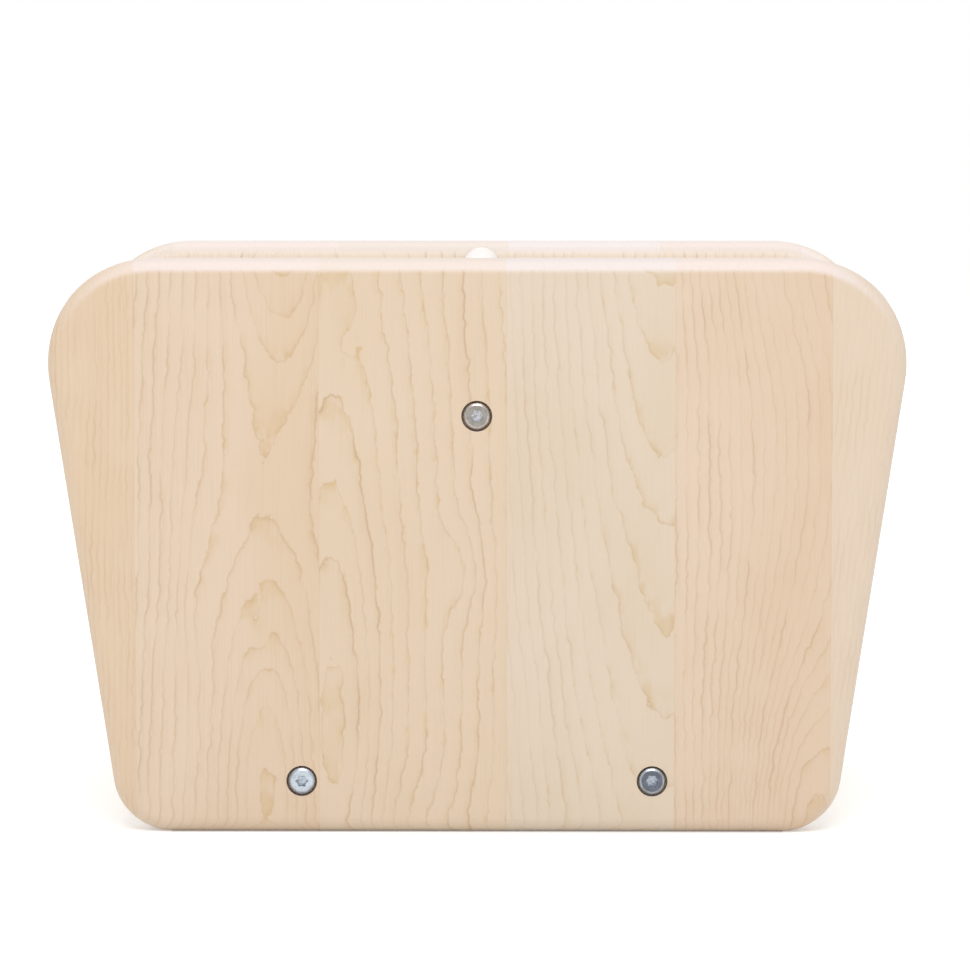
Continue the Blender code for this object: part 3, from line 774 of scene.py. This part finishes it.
class CAJON_OT_striking_boards(bpy.types.Operator):
    """Model the two thin striking boards with rounded ends and countersinks"""

    bl_idname = "cajon.striking_boards"
    bl_label = "Striking boards"

    def execute(self, context):
        sizes = context.scene.cajon_sizes
        birch = list(context.scene.cajon_colours.birch)
        for side, sign in (("left", -1.0), ("right", 1.0)):
            low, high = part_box(f"{side}_striking_board")
            piece = add_block(f"{side}_striking_board_ply", low, high)
            outer = max(abs(low.x), abs(high.x))
            bpy.ops.object.mode_set(mode="EDIT")

            def outer_top(e):
                return all(abs(abs(v.co.x) - outer) < 1e-5 and v.co.z > high.z - 1e-5 for v in e.verts)
            pick(piece, "EDGE", outer_top)
            bpy.ops.mesh.bevel(offset=0.0039, segments=8, affect="EDGES")
            pick(piece, "EDGE", lambda e: e.calc_face_angle(0.0) > 1.2)
            bpy.ops.mesh.bevel(offset=0.0004, segments=2, affect="EDGES")
            bpy.ops.object.mode_set(mode="OBJECT")
            sinks = []
            for number in range(1, 8):
                a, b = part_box(f"{side}_board_screw_{number}")
                x, y = (a.x + b.x) / 2, (a.y + b.y) / 2
                sink = add_rod("sink", SINK_RADIUS, (x, y, high.z - SINK_DEPTH), (x, y, high.z + PAST), 32)
                bpy.ops.object.mode_set(mode="EDIT")
                pick(sink, "VERT", lambda v: v.co.z < high.z - 0.002)
                bpy.ops.transform.resize(value=(0.45, 0.45, 1.0), center_override=(x, y, high.z))
                bpy.ops.object.mode_set(mode="OBJECT")
                sinks.append(sink)
            cut(piece, sinks)
            name = f"birch plywood {side} striking board"
            dress(piece, plywood(name, UP, low, (high.z - low.z) * MM, 5, sign + 9.0, birch))
            hand_over(piece, f"{side}_striking_board")
        return {"FINISHED"}


class CAJON_OT_board_screws(bpy.types.Operator):
    """Model one countersunk screw and copy it to every place on the boards"""

    bl_idname = "cajon.board_screws"
    bl_label = "Board screws"

    def execute(self, context):
        names = [f"{side}_board_screw_{n}" for side in ("left", "right") for n in range(1, 8)]
        low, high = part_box(names[0])
        first = Vector(((low.x + high.x) / 2, (low.y + high.y) / 2, high.z))
        radius = (high.x - low.x) / 2
        model = add_rod("screw", radius, first - Vector((0, 0, 0.0003)), first, 32)
        bpy.ops.object.mode_set(mode="EDIT")
        for drop, scale in ((0.0017, 0.43), (0.0105, 1.0), (0.0035, 0.15)):
            pick(model, "FACE", lambda f: f.normal.z < -0.9)
            bpy.ops.mesh.extrude_region_move(TRANSFORM_OT_translate={"value": (0.0, 0.0, -drop)})
            bpy.ops.transform.resize(value=(scale, scale, 1.0), center_override=first)
        bpy.ops.object.mode_set(mode="OBJECT")
        for wide, deep in ((0.0019, 0.0004), (0.0004, 0.0019)):
            bottom = first - Vector((wide, deep, 0.0012))
            cut(model, [add_block("slot", bottom, first + Vector((wide, deep, PAST)))])
        zinc = plated("zinc plated screw", list(context.scene.cajon_colours.zinc), 0.25, 6.0)
        for name in names:
            low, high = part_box(name)
            place = Vector(((low.x + high.x) / 2, (low.y + high.y) / 2, high.z))
            piece = copy_piece(model, name + "_zinc", place - first)
            dress(piece, zinc)
            hand_over(piece, name, 30.0)
        bpy.data.objects.remove(model)
        return {"FINISHED"}


class CAJON_OT_floor_and_rails(bpy.types.Operator):
    """Model the bottom board and the two rails below it with sanded edges"""

    bl_idname = "cajon.floor_and_rails"
    bl_label = "Bottom board and lower rails"

    def execute(self, context):
        sizes = context.scene.cajon_sizes
        birch = list(context.scene.cajon_colours.birch)
        grain = list(context.scene.cajon_colours.grain) + [1.0]
        low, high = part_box("bottom_board")
        piece = add_block("bottom_board_ply", low, high)
        dress(piece, plywood("birch plywood floor", UP, low, (high.z - low.z) * MM, 7, 15.0, birch))
        modify(piece, "BEVEL", width=sizes.ease * 0.5, segments=2, limit_method="ANGLE", angle_limit=0.9)
        hand_over(piece, "bottom_board")
        for number, side in enumerate(("left", "right")):
            low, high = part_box(f"lower_{side}_rail")
            piece = add_block(f"lower_{side}_rail_wood", low, high)
            name = f"maple {side} rail"
            dress(piece, maple(name, RAIL, 20.0, -1.0, 31.0 + number, FAR_LEFT, grain, along_y=True))
            bpy.ops.object.mode_set(mode="EDIT")
            pick(piece, "EDGE", lambda e: abs(e.verts[0].co.y - e.verts[1].co.y) > 0.1)
            bpy.ops.mesh.bevel(offset=sizes.ease * 2.0, segments=5, affect="EDGES")
            bpy.ops.object.mode_set(mode="OBJECT")
            hand_over(piece, f"lower_{side}_rail")
        return {"FINISHED"}


class CAJON_OT_inner_pieces(bpy.types.Operator):
    """Dress the hidden CAD pieces, whose shapes are right as they are"""

    bl_idname = "cajon.inner_pieces"
    bl_label = "Inner pieces"

    def execute(self, context):
        grain = list(context.scene.cajon_colours.grain) + [1.0]
        wood = maple("maple batten", RAIL, 20.0, -1.0, 41.0, FAR_LEFT, grain, along_y=True)
        low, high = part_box("centre_partition")
        birch = list(context.scene.cajon_colours.birch)
        thick = (high.x - low.x) * MM
        ply = plywood("birch plywood partition", (1.0, 0.0, 0.0), low, thick, 9, 21.0, birch)
        brass = plated("turned brass", linear("#CEAD6F")[:3], 0.28, 8.0)
        for name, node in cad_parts.items():
            if name.endswith("_insert"):
                dress(node, brass)
            elif name.endswith("_ledger") or name in ("centre_beam", "top_left_rail", "top_right_rail"):
                dress(node, wood)
            elif name == "centre_partition":
                dress(node, ply)
        return {"FINISHED"}


class CAJON_OT_stage(bpy.types.Operator):
    """Set the pale floor, the soft studio light and the camera"""

    bl_idname = "cajon.stage"
    bl_label = "Stage"

    def execute(self, context):
        scene = context.scene
        bpy.ops.object.select_all(action="DESELECT")
        bpy.ops.mesh.primitive_plane_add(size=FLOOR_SIZE, location=(0.0, 0.0, -FLOOR_DROP))
        floor = settle("studio_floor")
        papers = []
        for name, glow in (("white paper", OPEN_GLOW), ("white paper with painted shadow", FOOT_SHADOW_GLOW)):
            material, tree, shader = new_material(name)
            shader.inputs["Base Color"].default_value = (0.80, 0.80, 0.80, 1.0)
            shader.inputs["Emission Color"].default_value = (1.0, 1.0, 1.0, 1.0)
            shader.inputs["Emission Strength"].default_value = glow
            shader.inputs["Roughness"].default_value = 0.9
            shader.inputs["Specular IOR Level"].default_value = 0.0
            papers.append(material)
        dress(floor, papers[0])
        # The paper glows less where a panel stands on it: a painted contact shadow, which leaves a dark
        # line at the foot.
        for end in ENDS:
            low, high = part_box(f"{end}_panel")
            first = (-FOOT_REACH, low.y, -FLOOR_DROP * 0.9)
            last = (FOOT_REACH, high.y, -FLOOR_DROP * 0.5)
            shade = add_block(f"{end}_painted_foot_shadow", first, last)
            dress(shade, papers[1])
        world = bpy.data.worlds.new("studio")
        world.use_nodes = True
        scene.world = world
        back = world.node_tree.nodes["Background"]
        back.inputs["Color"].default_value = (1.0, 1.0, 1.0, 1.0)
        back.inputs["Strength"].default_value = 1.0
        sky = bpy.data.lights.new("overhead light", "SUN")
        sky.energy = 0.7
        sky.angle = math.radians(40.0)
        box = bpy.data.lights.new("soft box", "AREA")
        box.energy = 11.0
        box.size = 1.0
        for lamp, place, aim in ((sky, SKY_PLACE, SKY_AIM), (box, BOX_PLACE, BOX_AIM)):
            holder = bpy.data.objects.new(lamp.name, lamp)
            holder.location = place
            holder.rotation_euler = (Vector(aim) - holder.location).to_track_quat("-Z", "Y").to_euler()
            scene.collection.objects.link(holder)
        lens = bpy.data.cameras.new("photo camera")
        lens.lens = CAMERA_LENS
        lens.sensor_width = 36.0
        camera = bpy.data.objects.new("photo camera", lens)
        camera.location = CAMERA_PLACE
        aim = Vector(CAMERA_AIM) - camera.location
        camera.rotation_euler = aim.to_track_quat("-Z", "Y").to_euler()
        scene.collection.objects.link(camera)
        scene.camera = camera
        scene.view_settings.view_transform = "Standard"
        return {"FINISHED"}


OPERATORS = (
    CAJON_OT_panels, CAJON_OT_bolts, CAJON_OT_bar, CAJON_OT_walls, CAJON_OT_striking_boards,
    CAJON_OT_board_screws, CAJON_OT_floor_and_rails, CAJON_OT_inner_pieces, CAJON_OT_stage,
)


class CAJON_PT_sidebar(bpy.types.Panel):
    """Sizes, colours and steps of the cajon"""

    bl_idname = "CAJON_PT_sidebar"
    bl_label = "Cajon"
    bl_space_type = "VIEW_3D"
    bl_region_type = "UI"
    bl_category = "Cajon"

    def draw(self, context):
        for group in (context.scene.cajon_sizes, context.scene.cajon_colours):
            for key in group.__annotations__:
                self.layout.prop(group, key)
        for step in OPERATORS:
            self.layout.operator(step.bl_idname)


CLASSES = (CajonSizes, CajonColours, *OPERATORS, CAJON_PT_sidebar)


def register():
    """Add the classes and the settings they share."""
    for cls in CLASSES:
        bpy.utils.register_class(cls)
    bpy.types.Scene.cajon_sizes = PointerProperty(type=CajonSizes)
    bpy.types.Scene.cajon_colours = PointerProperty(type=CajonColours)


def unregister():
    """Take the settings and the classes away again."""
    del bpy.types.Scene.cajon_colours
    del bpy.types.Scene.cajon_sizes
    for cls in reversed(CLASSES):
        bpy.utils.unregister_class(cls)


def main():
    """Register the classes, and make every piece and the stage."""
    register()
    bpy.ops.cajon.panels()
    bpy.ops.cajon.bolts()
    bpy.ops.cajon.bar()
    bpy.ops.cajon.walls()
    bpy.ops.cajon.striking_boards()
    bpy.ops.cajon.board_screws()
    bpy.ops.cajon.floor_and_rails()
    bpy.ops.cajon.inner_pieces()
    bpy.ops.cajon.stage()


if __name__ == "__main__":
    main()
